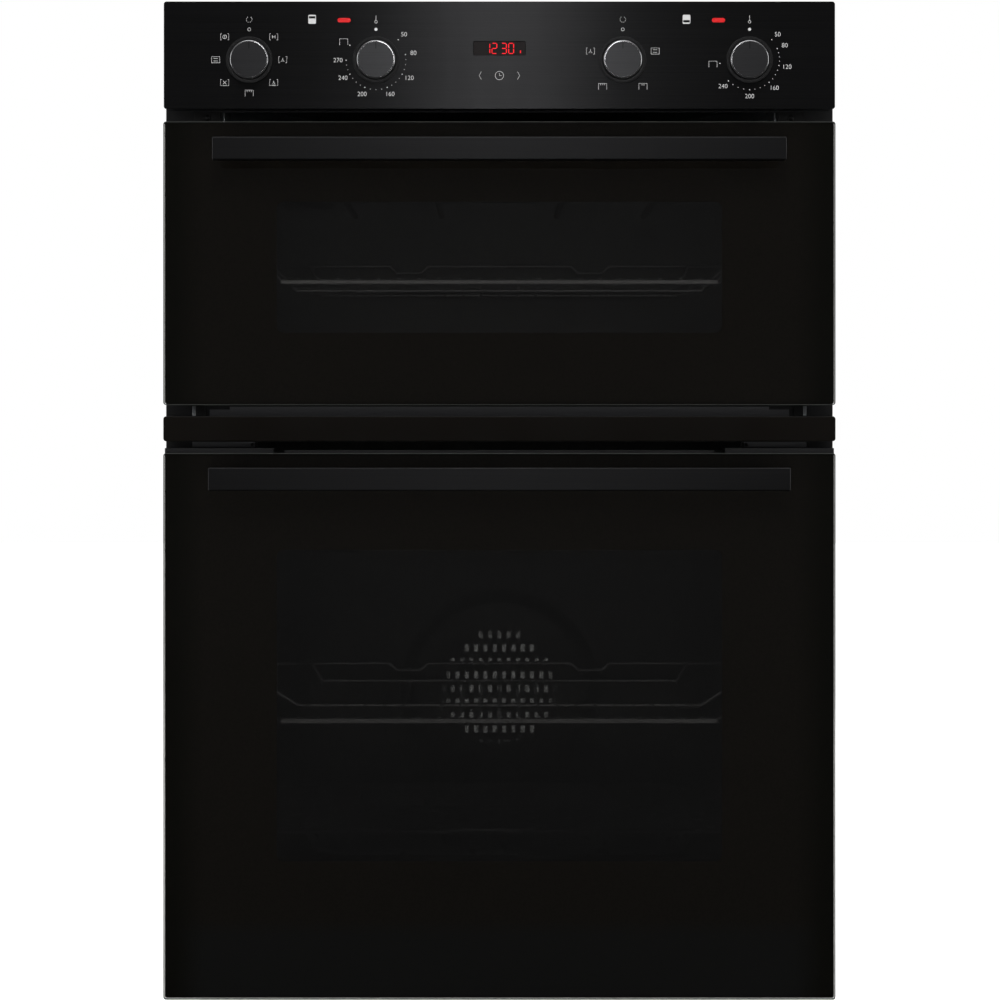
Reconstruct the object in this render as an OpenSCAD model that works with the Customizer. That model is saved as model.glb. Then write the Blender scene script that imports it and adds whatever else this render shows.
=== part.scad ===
// Built-in double wall oven: two bottom-hinged glass doors under a steel control panel.
// Millimetres. X runs to the right seen from the front, Y to the back and Z up.
// The origin is the middle of the outer box, on the surface that the chassis stands on.

/* [Front] */
// Width of the doors and of the trim between them
front_w = 594; // [590:1:598]
// Thickness of the control panel's steel sheet
fascia_t = 1.5; // [1:0.1:2]
// Width of the control panel
panel_w = 593; // [588:1:596]
// Height of the control panel
panel_h = 95; // [92:1:100]
// Height of the upper door
upper_door_h = 250.5; // [248:0.5:256]
// Height of the lower door
lower_door_h = 483; // [478:1:486]
// Height of the trim between the doors
trim_h = 22; // [20:1:24]
// Gap between the control panel and the upper door
panel_gap = 11; // [10:0.5:12]
// Gap between the upper door and the trim
upper_gap = 10; // [9.5:0.5:11]
// Gap between the trim and the lower door
lower_gap = 10.5; // [10:0.5:12]
// Height of the lower door above the chassis base
door_clear = 3; // [2:0.5:5]
// Corner radius of the glass fronts
corner_r = 2.5; // [1:0.5:4]

/* [Doors] */
// Thickness of the outer glass
glass_t = 4; // [3:0.5:5]
// Thickness of a closed door, glass included
door_t = 19; // [18:0.5:20]
// Distance from a door's front to the front frame
front_t = 22; // [21:0.5:23]
// Height of the hinge pivot above a door's bottom edge
pivot_up = 10; // [9:0.5:11]
// Distance of the hinge pivot behind a door's front
pivot_in = 10; // [9.5:0.5:10.5]
// Radius of the hinge pins
hinge_pin_r = 3; // [2:0.5:3.5]
// Distance of the hinges from the middle
hinge_x = 257; // [254:1:258]

/* [Handles] */
// Distance of the handle's front from the door
handle_reach = 42; // [36:1:50]
// Thickness of the handle bars
handle_t = 10; // [8:1:14]
// Height of the handle bars
handle_h = 20; // [16:1:24]
// Length of the upper handle
upper_handle_w = 499; // [480:1:520]
// Length of the lower handle
lower_handle_w = 506; // [480:1:525]
// Distance from the upper door's top edge down to the middle of its handle
upper_handle_down = 28; // [20:0.2:30]
// Distance from the lower door's top edge down to the middle of its handle
lower_handle_down = 22.6; // [20:0.2:30]
// Distance of the handle posts from the middle
post_x = 225; // [200:1:240]

/* [Chassis] */
// Width of the front frame
flange_w = 594; // [584:1:596]
// Width of the chassis behind the front frame
body_w = 560; // [556:1:564]
// Height of the chassis
body_h = 868; // [866:1:872]
// Depth behind the front frame, with the terminal box
body_d = 548.5; // [545:0.5:552]
// Thickness of the casing sheet
sheet = 1.2; // [1:0.1:1.5]
// Radius of the cabinet screw holes
cabinet_hole_r = 2.5; // [2:0.1:3]
// Side distance between the cabinet screw holes
cabinet_hole_x = 575; // [570:1:578]
// Height distance between the cabinet screw holes
cabinet_hole_z = 620; // [600:1:640]

/* [Cavities] */
// Inner width of both cavities
cavity_w = 480; // [476:1:482]
// Inner height of the lower cavity
lower_cavity_h = 357; // [350:1:358]
// Inner height of the upper cavity
upper_cavity_h = 172; // [168:1:173]
// Height of the lower cavity's floor
lower_floor = 52; // [52:1:54]
// Height of the upper cavity's floor
upper_floor = 572; // [571:1:573]
// Height of the lower rack's grid
lower_rack_z = 246; // [243:1:249]
// Height of the upper rack's grid
upper_rack_z = 643; // [640:1:645]
// Height of the tray's rim
tray_z = 143; // [140:1:146]
// Width of the tray's bowl
tray_w = 366; // [360:1:412]
// Height of the convection fan's axis
fan_z = 240; // [236:1:244]
// Radius of the convection fan
fan_r = 62; // [56:1:64]

/* [Controls] */
// Radius of the knobs
knob_r = 17.1; // [16:0.1:17.2]
// Distance of the inner knobs from the middle
inner_knob_x = 109; // [100:1:115]
// Distance of the outer knobs from the middle
outer_knob_x = 221; // [215:1:230]
// How far a knob stands out when it is pushed in
knob_proud = 3; // [2:0.5:4]
// Radius of the spindles
spindle_r = 3; // [2.5:0.1:3.2]
// Radial clearance of a running shaft
running = 0.05; // [0.03:0.01:0.08]

/* [Hidden] */
$fn = 48;

// Depth levels, from the handles to the back
depth = handle_reach + front_t + 1.5 + body_d;
door_y = -depth / 2 + handle_reach;
glass_y = door_y + glass_t;
fascia_y = door_y + fascia_t;
door_back_y = door_y + door_t;
frame_y = door_y + front_t;
body_y = frame_y + 1.5;
end_y = depth / 2;
rear_y = end_y - 20;
casing_y = rear_y - sheet;
pivot_y = door_y + pivot_in;

// Height levels, from the base to the top, each as [low, high]
lower_door = [door_clear, door_clear + lower_door_h];
trim = [lower_door[1] + lower_gap, lower_door[1] + lower_gap + trim_h];
upper_door = [trim[1] + upper_gap, trim[1] + upper_gap + upper_door_h];
panel = [upper_door[1] + panel_gap, upper_door[1] + panel_gap + panel_h];
lower_room = [lower_floor, lower_floor + lower_cavity_h];
upper_room = [upper_floor, upper_floor + upper_cavity_h];
knob_z = panel[0] + 43.5;
display_z = knob_z + 10;
lens_z = knob_z + 35;
lens_x = [-137.2, 193.6];

// Cavities: enamelled sheet, with the fan's room behind the lower one's baffle
wall = 1;
baffle_y = door_y + 430;
lower_back = baffle_y + 43;
upper_back = door_y + 437;
mouth = cavity_w / 2 + 2;
lamp_spot = [-195, 125];
probe_x = 215;
element_r = 3.25;
ring_r = 80;

// Racks: round rails that rest on the ladder's inner wires
rail_x = 230;
rail_r = 3;
wire_r = 2;
wire_x = 232;
rack_front = door_y + 60;
rack_rear = door_y + 415;
lower_rise = 21;
upper_rise = 34;
grid_pitch = 18.2;

// Cooling blower, a cross-flow rotor over the upper cavity
blower_y = 165;
blower_z = 822;
blower_r = 30;
blower_half = 100;
shaft_r = 3;
fan_shaft_r = 4;

function sym(half) = [-half, half];
function grown(range, by) = [range[0] - by, range[1] + by];
function knob_x(n) = [-outer_knob_x, -inner_knob_x, inner_knob_x, outer_knob_x][n - 1];

module slab(x, y, z) {
  translate([x[0], y[0], z[0]])
    cube([x[1] - x[0], y[1] - y[0], z[1] - z[0]]);
}

module pair() {
  children();
  mirror([1, 0, 0])
    children();
}

module bar_x(x, y, z, r) {
  translate([x[0], y, z])
    rotate([0, 90, 0])
      cylinder(h = x[1] - x[0], r = r);
}

module bar_y(x, y, z, r) {
  translate([x, y[0], z])
    rotate([-90, 0, 0])
      cylinder(h = y[1] - y[0], r = r);
}

module bar_z(x, y, z, r) {
  translate([x, y, z[0]])
    cylinder(h = z[1] - z[0], r = r);
}

// A straight wire between two points, with a round knot a little thicker than itself at its start
module wire(from, to, r) {
  way = to - from;
  len = norm(way);
  translate(from) {
    sphere(r = r + 0.15);
    rotate([0, acos(way[2] / len), atan2(way[1], way[0])])
      cylinder(h = len, r = r);
  }
}

module rounded(w, h, r) {
  square([w - 2 * r, h], center = true);
  square([w, h - 2 * r], center = true);
  for (x = [-1, 1], y = [-1, 1])
    translate([x * (w / 2 - r), y * (h / 2 - r)])
      circle(r = r);
}

// An upright plate with round corners
module pane(w, y, z, r) {
  translate([0, y[1], (z[0] + z[1]) / 2])
    rotate([90, 0, 0])
      linear_extrude(y[1] - y[0])
        rounded(w, z[1] - z[0], r);
}

// A flat U of heating tube that opens to the back, with its legs at +-half
module heater_u(half, y, z, bend) {
  pair() {
    bar_y(half, [y[0] + bend, y[1]], z, element_r);
    translate([half - bend, y[0] + bend, z])
      rotate([0, 0, -90])
        rotate_extrude(angle = 90)
          translate([bend, 0])
            circle(r = element_r);
  }
  bar_x(sym(half - bend), y[0], z, element_r);
}

// ---- casing

module base_plate() {
  color("lightgray") difference() {
    union() {
      slab(sym(body_w / 2), [body_y, rear_y], [0, sheet]);
      for (x = [-190, 190])
        slab([x - 15, x + 15], [body_y + 60, rear_y - 60], [sheet - 0.2, 6]);
    }
    for (x = [-100, -60, -20, 20, 60, 100])
      slab([x - 4, x + 4], [120, 220], [-1, 5]);
  }
}

module side_panels() {
  color("lightgray") pair() difference() {
    union() {
      slab([body_w / 2 - sheet, body_w / 2], [body_y, casing_y], [sheet, body_h - sheet]);
      slab([body_w / 2 - 12, body_w / 2], [casing_y - sheet, casing_y], [sheet, body_h - sheet]);
    }
    for (i = [0:8])
      slab([body_w / 2 - 5, body_w / 2 + 1], [120 + i * 14, 126 + i * 14], [786, 846]);
  }
}

module rear_panel() {
  color("lightgray") difference() {
    slab(sym(body_w / 2), [casing_y, rear_y], [sheet, body_h]);
    for (i = [0:5], side = [-1, 1])
      slab([side * 120 - 45, side * 120 + 45], [casing_y - 1, rear_y + 1], [425 + i * 9, 429 + i * 9]);
    for (i = [-7:7])
      slab([i * 10 - 2.5, i * 10 + 2.5], [casing_y - 1, rear_y + 1], [200, 280]);
    bar_y(-195, [casing_y - 1, rear_y + 1], 740, 12);
    for (x = [-265, 265], z = [40, 300, 560, 820])
      bar_y(x, [casing_y - 1, rear_y + 1], z, 2);
  }
}

module top_cover() {
  color("lightgray") difference() {
    slab(sym(body_w / 2), [body_y, casing_y], [body_h - sheet, body_h]);
    for (i = [0:11])
      slab([-110 + i * 20 - 4, -110 + i * 20 + 4], [225, 265], [body_h - 5, body_h + 1]);
    for (x = [-265, 265], y = [-200, 20, 240])
      bar_z(x, y, [body_h - 5, body_h + 1], 2);
  }
}

// Pan-head screws of the rear panel and the top cover
module chassis_screws() {
  color("silver") {
    for (x = [-265, 265], z = [40, 300, 560, 820]) {
      bar_y(x, [rear_y - sheet, rear_y + 0.5], z, 1.8);
      bar_y(x, [rear_y, rear_y + 2.2], z, 3.8);
    }
    for (x = [-265, 265], y = [-200, 20, 240]) {
      bar_z(x, y, [body_h - sheet, body_h + 0.5], 1.8);
      bar_z(x, y, [body_h, body_h + 2.2], 3.8);
    }
  }
}

module frame_mouth(room) {
  pane(2 * mouth, [frame_y - 1, body_y + 1], grown(room, 2), 6);
}

module front_frame() {
  color("dimgray") difference() {
    slab(sym(flange_w / 2), [frame_y, body_y], [1, panel[1] - 1]);
    frame_mouth(lower_room);
    frame_mouth(upper_room);
    // Air outlet under the control panel, and the one over the lower door
    slab(sym(247), [frame_y - 1, body_y + 1], [upper_door[1] - 4.5, panel[0] - 0.5]);
    slab(sym(215), [frame_y - 1, body_y + 1], [lower_door[1] + 2, trim[0] - 0.5]);
    // Room for the switches behind the control panel
    slab(sym(272), [frame_y - 1, body_y + 1], [panel[0] + 7, body_h - 2]);
    for (door = [lower_door, upper_door])
      pair()
        slab([hinge_x - 5, hinge_x + 5], [frame_y - 1, body_y + 1], sym_about(door[0] + pivot_up, 7));
    for (z = [140, 140 + cabinet_hole_z])
      pair()
        bar_y(cabinet_hole_x / 2, [frame_y - 1, body_y + 1], z, cabinet_hole_r);
  }
}

function sym_about(middle, half) = [middle - half, middle + half];

module middle_trim() {
  back = [frame_y - 2, frame_y];
  color("black") {
    difference() {
      pane(front_w, [door_y, frame_y - 2], trim, corner_r);
      slab(sym(front_w / 2 - 2), [door_y + 3, frame_y - 1], grown(trim, -1.5));
    }
    slab(sym(front_w / 2 - 5), back, trim);
    slab(sym(258), back, [trim[0] + 1, trim[1] + 6.2]);
    slab(sym(240), back, [trim[0] + 1, trim[1] + 8.8]);
  }
}

// Small plates, angles and rivets that show in the gaps between the fronts
module gap_brackets() {
  color("gray") pair() {
    slab([249, 272], [frame_y - 1.5, frame_y], [upper_door[1] + 1, panel[0] - 1]);
    bar_y(260, [frame_y - 3, frame_y - 1], upper_door[1] + 5.5, 3);
    slab([270.5, 273.5], [frame_y - 1.6, frame_y], grown([trim[1], upper_door[0]], -0.5));
    slab([262, 273.5], [frame_y - 1.2, frame_y], grown([trim[1], upper_door[0]], -0.5));
    slab([218, 273.5], [frame_y - 1.5, frame_y], [trim[0] - 5.4, trim[0] - 0.5]);
    bar_y(220, [frame_y - 2.8, frame_y - 1], trim[0] - 3, 1.6);
  }
}

// ---- cavities

module cavity_shell(room, back) {
  slab(sym(cavity_w / 2 + wall), [body_y, back + wall], grown(room, wall));
  slab(sym(mouth + 9), [body_y, body_y + wall], grown(room, 10));
}

module cavity_hollow(room, back) {
  slab(sym(cavity_w / 2), [body_y - 1, back], room);
  bar_z(lamp_spot[0], lamp_spot[1], [room[1] - 1, room[1] + 5], 22);
  bar_y(probe_x, [back - 1, back + 5], room[1] - 24, 3.3);
  // Heater legs through the back wall
  for (x = [-150, -60, 60, 150])
    bar_y(x, [back - 1, back + 5], room[1] - 13, 3.6);
}

module upper_cavity() {
  color("darkslategray") {
    difference() {
      cavity_shell(upper_room, upper_back);
      cavity_hollow(upper_room, upper_back);
    }
    // Panel pressed forward in the back wall
    pane(412, [upper_back - 2, upper_back + 0.5], [upper_floor + 56, upper_room[1] - 20], 12);
  }
}

module lower_cavity() {
  color("darkslategray") difference() {
    cavity_shell(lower_room, lower_back);
    cavity_hollow(lower_room, lower_back);
    bar_y(0, [lower_back - 1, lower_back + 5], fan_z, 8);
    for (x = [-20, 20])
      bar_y(x, [lower_back - 1, lower_back + 5], fan_z - ring_r + 2, 4.4);
  }
}

module blanket(room, back, below) {
  difference() {
    slab(sym(cavity_w / 2 + 29), [body_y + 3.5, back + 28], [room[0] - below - 12, room[1] + 29]);
    slab(sym(cavity_w / 2 + wall + 0.3), [body_y, back + wall + 0.3], [room[0] - below, room[1] + wall + 0.3]);
    bar_z(lamp_spot[0], lamp_spot[1], [room[1] - 1, room[1] + 40], 25);
    slab([probe_x - 8, probe_x + 8], [back, back + 40], [room[1] - 32, room[1] - 16]);
    slab(sym(165), [back, back + 40], [room[1] - 24, room[1] - 6]);
    slab(sym(165), [back, back + 40], [room[0] - below + 0.5, room[0] - 1]);
  }
}

// Glass-fibre blankets round both cavities, with a pocket for the heaters under the floors
module insulation() {
  color("khaki") {
    blanket(upper_room, upper_back, 13);
    difference() {
      blanket(lower_room, lower_back, 14);
      slab(sym(66), [lower_back, lower_back + 40], [fan_z - 98, fan_z + 66]);
    }
  }
}

module seal(room) {
  difference() {
    pane(cavity_w + 20, [door_back_y + 0.3, frame_y], grown(room, 10), 14);
    pane(cavity_w + 6, [door_back_y, frame_y + 1], grown(room, 3), 8);
  }
}

module door_seals() {
  color("dimgray") {
    seal(lower_room);
    seal(upper_room);
  }
}

// Cover in front of the convection fan, with rows of upright slots
// Round part of the baffle that is pressed forward, set back by the given distance
module baffle_dish(back, z) {
  intersection() {
    translate([0, baffle_y + 0.5 + back, fan_z])
      rotate([90, 0, 0])
        cylinder(h = 5.5, r1 = 104, r2 = 89);
    slab(sym(120), [baffle_y - 6, baffle_y + 3], z);
  }
}

module fan_baffle() {
  z = [lower_floor + 99, lower_room[1] - 23];
  pitch = [9.66, 14];
  slot = [4.2, 7.4];
  color("darkslategray") difference() {
    union() {
      pane(402, [baffle_y, lower_back], z, 14);
      baffle_dish(0, grown(z, -0.4));
    }
    pane(402 - 2 * sheet, [baffle_y + sheet, lower_back + 1], grown(z, -sheet), 13);
    baffle_dish(sheet, grown(z, -0.4 - sheet));
    for (row = [-4:4], col = [-7:7]) {
      x = (col + abs(row % 2) / 2) * pitch[0];
      if (norm([x, row * pitch[1]]) < 60)
        translate([x - slot[0] / 2, baffle_y - 9, fan_z + row * pitch[1] - slot[1] / 2])
          cube([slot[0], 12, slot[1]]);
    }
    pair()
      slab([112, 162], [baffle_y - 1, baffle_y + 5], [331, 345]);
  }
}

module ring_element() {
  color("dimgray") {
    translate([0, baffle_y + 21, fan_z])
      rotate([90, 0, 0])
        rotate_extrude()
          translate([ring_r, 0])
            circle(r = element_r);
    for (x = [-20, 20])
      bar_y(x, [baffle_y + 21, lower_back + 14], fan_z - ring_r + 2, 4);
  }
}

// Two U-shaped tubes under each ceiling
module grill_elements() {
  color("dimgray")
    for (place = [[lower_room[1] - 13, lower_back], [upper_room[1] - 13, upper_back]]) {
      heater_u(150, [-150, place[1] + 12], place[0], 30);
      heater_u(60, [-110, place[1] + 12], place[0], 30);
    }
}

// One U-shaped tube under each floor
module base_elements() {
  color("dimgray")
    for (place = [[lower_floor - 7, lower_back], [upper_floor - 7, upper_back]])
      heater_u(150, [-150, place[1] + 16], place[0], 40);
}

module lamp_sockets() {
  color("white")
    for (room = [lower_room, upper_room])
      bar_z(lamp_spot[0], lamp_spot[1], [room[1] - 0.2, room[1] + 38], 21.5);
}

module lamp_lenses() {
  color("white")
    for (room = [lower_room, upper_room])
      translate([lamp_spot[0], lamp_spot[1], room[1] - 12])
        difference() {
          rotate_extrude()
            polygon([[0, 0], [22, 0], [27, 5], [27, 11.8], [0, 11.8]]);
          bar_z(0, 0, [3, 20], 20);
        }
}

module temperature_probes() {
  color("silver")
    for (place = [[lower_room[1] - 24, lower_back], [upper_room[1] - 24, upper_back]]) {
      bar_y(probe_x, [place[1] - 90, place[1] + 14], place[0], 3);
      bar_y(probe_x, [place[1] + wall + 0.1, place[1] + 14], place[0], 6);
    }
}

// ---- convection fan

module fan_motor() {
  color("gray") difference() {
    union() {
      bar_y(0, [lower_back + 6, lower_back + 48], fan_z, 36);
      bar_y(0, [lower_back + wall + 0.2, lower_back + 6], fan_z, 16);
      slab(sym(50), [lower_back + 28, lower_back + 30], sym_about(fan_z, 10));
    }
    bar_y(0, [lower_back - 5, lower_back + 36], fan_z, fan_shaft_r + running);
  }
}

module convection_fan() {
  disc = [baffle_y + 30, baffle_y + 31.2];
  color("silver") {
    bar_y(0, disc, fan_z, fan_r);
    bar_y(0, [baffle_y + 18, baffle_y + 36], fan_z, 9);
    bar_y(0, [baffle_y + 10, lower_back + 34], fan_z, fan_shaft_r);
    for (i = [0:9])
      translate([0, 0, fan_z])
        rotate([0, i * 36, 0])
          translate([30, baffle_y + 8, -0.6])
            cube([fan_r - 31, 22.5, 1.2]);
  }
}

// ---- cooling blower

module blower_housing() {
  inner = blower_half + 6;
  color("gray") difference() {
    slab(sym(inner + 2), [101, 213], [upper_room[1] + 32, body_h - 4]);
    bar_x(sym(inner), blower_y, blower_z, blower_r + 6);
    slab(sym(inner), [100, blower_y], [upper_room[1] + 34, upper_room[1] + 60]);
    slab(sym(inner), [blower_y - 18, blower_y + 18], [blower_z, body_h]);
    bar_x([-inner - 1.8, inner + 5], blower_y, blower_z, shaft_r + running);
  }
}

module blower_motor() {
  start = blower_half + 8.2;
  color("gray") difference() {
    union() {
      bar_x([start, start + 44], blower_y, blower_z, 27);
      slab([start, start + 2], sym_about(blower_y, 34), sym_about(blower_z, 10));
    }
    bar_x([start - 1, start + 20], blower_y, blower_z, shaft_r + running);
  }
}

module blower_rotor() {
  color("silver") {
    for (x = [-blower_half, -1, blower_half - 2])
      bar_x([x, x + 2], blower_y, blower_z, blower_r);
    bar_x([-blower_half - 7, blower_half + 26], blower_y, blower_z, shaft_r);
    for (i = [0:15])
      translate([-blower_half + 1, blower_y, blower_z])
        rotate([i * 22.5, 0, 0])
          translate([0, 21, 0])
            rotate([30, 0, 0])
              cube([2 * blower_half - 2, 7.5, 1]);
  }
}

// Flat duct from the blower to the outlet under the control panel
module air_duct() {
  low = upper_room[1] + 31.5;
  outer = [[-246, body_y + 0.2], [246, body_y + 0.2], [246, -180], [108, 100.8], [-108, 100.8], [-246, -180]];
  inner = [[-245, body_y - 1], [245, body_y - 1], [245, -180.3], [106.8, 102], [-106.8, 102], [-245, -180.3]];
  color("silver") difference() {
    translate([0, 0, low])
      linear_extrude(30)
        polygon(outer);
    translate([0, 0, low + 1])
      linear_extrude(28)
        polygon(inner);
    // The flat part over the grill, cut back round the lamp socket
    slab(sym(300), [body_y - 1, body_y + 1], [panel[0] - 0.5, low + 40]);
  }
}

// ---- mains inlet

module terminal_box() {
  color("black") {
    difference() {
      union() {
        slab([-240, -150], [rear_y, end_y], [700, 780]);
        bar_z(-195, rear_y + 10, [686, 700.5], 8.5);
      }
      slab([-237, -153], [rear_y - 1, end_y - 2], [703, 777]);
      bar_z(-195, rear_y + 10, [680, 705], 5.5);
    }
  }
}

// ---- controls

module control_fascia() {
  color([0.2, 0.2, 0.2]) difference() {
    pane(panel_w, [door_y, fascia_y], panel, corner_r);
    for (n = [1:4])
      bar_y(knob_x(n), [door_y - 1, fascia_y + 1], knob_z, 19.5);
    for (x = lens_x)
      slab(sym_about(x, 5.9), [door_y - 1, fascia_y + 1], sym_about(lens_z, 2.05));
    slab(sym(23), [door_y - 1, fascia_y + 1], sym_about(display_z, 6.1));
  }
}

module fascia_carrier() {
  color("black") difference() {
    slab(sym(294), [fascia_y, frame_y], grown(panel, -1));
    slab(sym(291.5), [fascia_y - 1, frame_y - 2], grown(panel, -3.5));
    for (n = [1:4])
      bar_y(knob_x(n), [frame_y - 5, frame_y + 1], knob_z, 19.2);
    slab(sym(40), [frame_y - 5, frame_y + 1], [knob_z - 20, knob_z + 20]);
  }
}

module knob_bezels() {
  color("dimgray")
    for (n = [1:4])
      difference() {
        union() {
          bar_y(knob_x(n), [door_y - 0.8, door_y], knob_z, 20.6);
          bar_y(knob_x(n), [door_y - 0.4, frame_y], knob_z, 19);
        }
        bar_y(knob_x(n), [door_y - 5, frame_y + 1], knob_z, 17.5);
      }
}

module rotary_switches() {
  color("ivory")
    for (n = [1:4])
      difference() {
        union() {
          bar_y(knob_x(n), [frame_y + 0.2, frame_y + 8], knob_z, 8);
          slab(sym_about(knob_x(n), 16), [frame_y + 7, frame_y + 36], sym_about(knob_z, 16));
          for (x = [-9, 0, 9])
            slab(sym_about(knob_x(n) + x, 3), [frame_y + 35, frame_y + 43], sym_about(knob_z - 8, 0.4));
        }
        bar_y(knob_x(n), [frame_y - 1, frame_y + 16], knob_z, spindle_r + running);
      }
}

module spindle(n) {
  color("silver")
    bar_y(knob_x(n), [door_y + 0.5, frame_y + 15], knob_z, spindle_r);
}

// A knob that is pushed in flush and slides out along its spindle
module knob(n) {
  long = knob_proud + front_t - 1;
  color([0.08, 0.08, 0.08])
    translate([knob_x(n), door_y - knob_proud, knob_z])
      rotate([-90, 0, 0])
        difference() {
          rotate_extrude()
            polygon([[0, 0], [knob_r - 0.8, 0], [knob_r, 0.8], [knob_r, long], [0, long]]);
          bar_z(0, 0, [knob_proud - 0.5, long + 1], spindle_r + running);
        }
}

module display_module() {
  color("black") {
    slab(sym(45), [glass_y + 10, glass_y + 11.6], sym_about(knob_z, 26));
    slab(sym(22.8), [door_y + 0.1, glass_y + 10.2], sym_about(display_z, 5.9));
  }
}

module indicator_lenses() {
  color("red")
    for (x = lens_x)
      slab(sym_about(x, 5.8), [door_y, glass_y + 4], sym_about(lens_z, 1.95));
}

// ---- racks and tray

// Two upright wires with pairs of level wires that carry a rack or a tray
module ladder(levels, z) {
  for (y = [-170, 130]) {
    bar_z(236.5, y, z, 2.5);
    for (end = [z[0] + 8, z[1] - 8])
      bar_x([235, cavity_w / 2], y, end, 1.8);
  }
  for (level = levels, up = [0, 14])
    bar_y(wire_x, [-192, 148], level + up, wire_r);
  for (level = levels, y = [-170, 130], up = [0, 14])
    bar_x([wire_x, 236], y, level + up, 1.6);
}

module side_ladders() {
  under = rail_r + wire_r + 0.2;
  low = [tray_z - 3.4, 201, lower_rack_z + lower_rise - under, 322];
  high = [612, upper_rack_z + upper_rise - under];
  color("silver") pair() {
    ladder(low, [96, 378]);
    ladder(high, [588, 728]);
  }
}

// A grid that hangs below its side rails, with a guard wire at the back
module rack(z, rise) {
  rail_z = z + rise;
  low = z - 2.6;
  pair() {
    bar_y(rail_x, [rack_front + 16, rack_rear + 3], rail_z, rail_r);
    wire([197, rack_front, low], [rail_x, rack_front + 18, rail_z], 2.6);
  }
  bar_x(sym(197), rack_front, low, rail_r);
  // Middle bar, its ends rising to the rails, and the rear bar, its ends rising to the guard
  for (bar = [[rack_front + 148, 193.5, rail_x, 0, low], [rack_rear - 5, 182, 194, 4.5, z + 3.4]]) {
    bar_x(sym(bar[1]), bar[0], bar[4], 2.4);
    pair()
      wire([bar[1], bar[0], bar[4]], [bar[2], bar[0] + bar[3], rail_z], 2.4);
  }
  for (i = [-10:10])
    bar_y(i * grid_pitch, [rack_front - 1, rack_rear - 4], z, 1.4);
  rear_guard([[rail_x, 0], [113, 0], [106, -7], [81, -7], [74, 0], [-74, 0], [-81, -7], [-106, -7], [-113, 0],
    [-rail_x, 0]], rail_z);
}

module rear_guard(path, z) {
  for (i = [0:len(path) - 2])
    wire([path[i][0], rack_rear, z + path[i][1]], [path[i + 1][0], rack_rear, z + path[i + 1][1]], 2.2);
}

module upper_rack() {
  color("silver")
    rack(upper_rack_z, upper_rise);
}

module lower_rack() {
  color("silver")
    rack(lower_rack_z, lower_rise);
}

module tray_outline(w, d, r, z) {
  translate([0, (rack_front + rack_rear) / 2, z[0]])
    linear_extrude(z[1] - z[0])
      rounded(w, d, r);
}

module baking_tray() {
  d = rack_rear - rack_front;
  color("dimgray") difference() {
    union() {
      tray_outline(2 * wire_x, d, 18, [tray_z - 1.2, tray_z]);
      tray_outline(tray_w, d - 16, 24, [tray_z - 27, tray_z]);
    }
    tray_outline(tray_w - 2.4, d - 18.4, 22.8, [tray_z - 25.8, tray_z + 1]);
  }
}

// ---- doors, each as its range of heights

function handle_z(door) = door[1] - (door == upper_door ? upper_handle_down : lower_handle_down);

module door_glass(door) {
  color([0.02, 0.02, 0.02]) difference() {
    pane(front_w, [door_y, glass_y], door, corner_r);
    for (x = [-post_x, post_x])
      bar_y(x, [door_y - 1, glass_y + 1], handle_z(door), 5);
  }
}

module inner_glass(door) {
  color([0.3, 0.35, 0.35, 0.5])
    pane(526, [door_back_y - 4, door_back_y], [door[0] + 18, door[1] - 24], 6);
}

module middle_glass(door) {
  color([0.3, 0.35, 0.35, 0.5])
    pane(490, [glass_y + 4.5, glass_y + 7.5], [door[0] + 18, door[1] - 24], 4);
}

module door_columns(door) {
  z = [door[0] + 4, door[1] - 21];
  color([0.12, 0.12, 0.12]) pair() difference() {
    slab([266, front_w / 2 - 1], [glass_y, door_back_y], z);
    slab([268, front_w / 2 - 3], [glass_y + 2, door_back_y + 1], grown(z, -2));
  }
}

// Top and bottom rails; lip is how far the top one rises over the glass in the middle and at its ends
module door_rails(door, lip) {
  top = door[1] - 20;
  color([0.15, 0.15, 0.15]) {
    difference() {
      union() {
        slab(sym(front_w / 2 - 1), [glass_y, door_back_y], [top, door[1] - 0.5]);
        slab(sym(190), [glass_y, door_back_y], [top, door[1] + lip[0]]);
        pair()
          slab([200, front_w / 2 - 1], [glass_y, door_back_y], [top, door[1] + lip[1]]);
      }
      slab(sym(front_w / 2 - 3), [glass_y + 2, door_back_y - 2], [top - 1, door[1] - 3]);
    }
    slab(sym(246), [glass_y, door_back_y], [door[0] + 4, door[0] + 17]);
  }
}

module handle(door, w) {
  front = door_y - handle_reach;
  color([0.15, 0.15, 0.15])
    translate([-w / 2, front + handle_t / 2, handle_z(door)])
      rotate([90, 0, 90])
        linear_extrude(w)
          rounded(handle_t, handle_h, 2);
}

module handle_posts(door) {
  color([0.12, 0.12, 0.12])
    for (x = [-post_x, post_x]) {
      slab(sym_about(x, 8), [door_y - handle_reach + handle_t, door_y], sym_about(handle_z(door), 7));
      bar_y(x, [door_y - 1, glass_y], handle_z(door), 4.8);
    }
}

// Hinge channel in the door, with the pin that turns in the fixed arm
module door_hinges(door) {
  z = door[0] + pivot_up;
  front = glass_y + 0.2;
  color("silver") pair() {
    for (x = [hinge_x - 6, hinge_x + 3.5]) {
      slab([x, x + 2.5], [front, door_back_y - 1], [door[0] + 4, door[0] + 17]);
      slab([x, x + 2.5], [front, door_back_y - 5], [door[0] + 16, door[0] + 90]);
    }
    slab([hinge_x - 6, hinge_x + 6], [front, front + 1.8], [z + 8, door[0] + 90]);
    bar_x([hinge_x - 6, hinge_x + 6], pivot_y, z, hinge_pin_r);
  }
}

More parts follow.
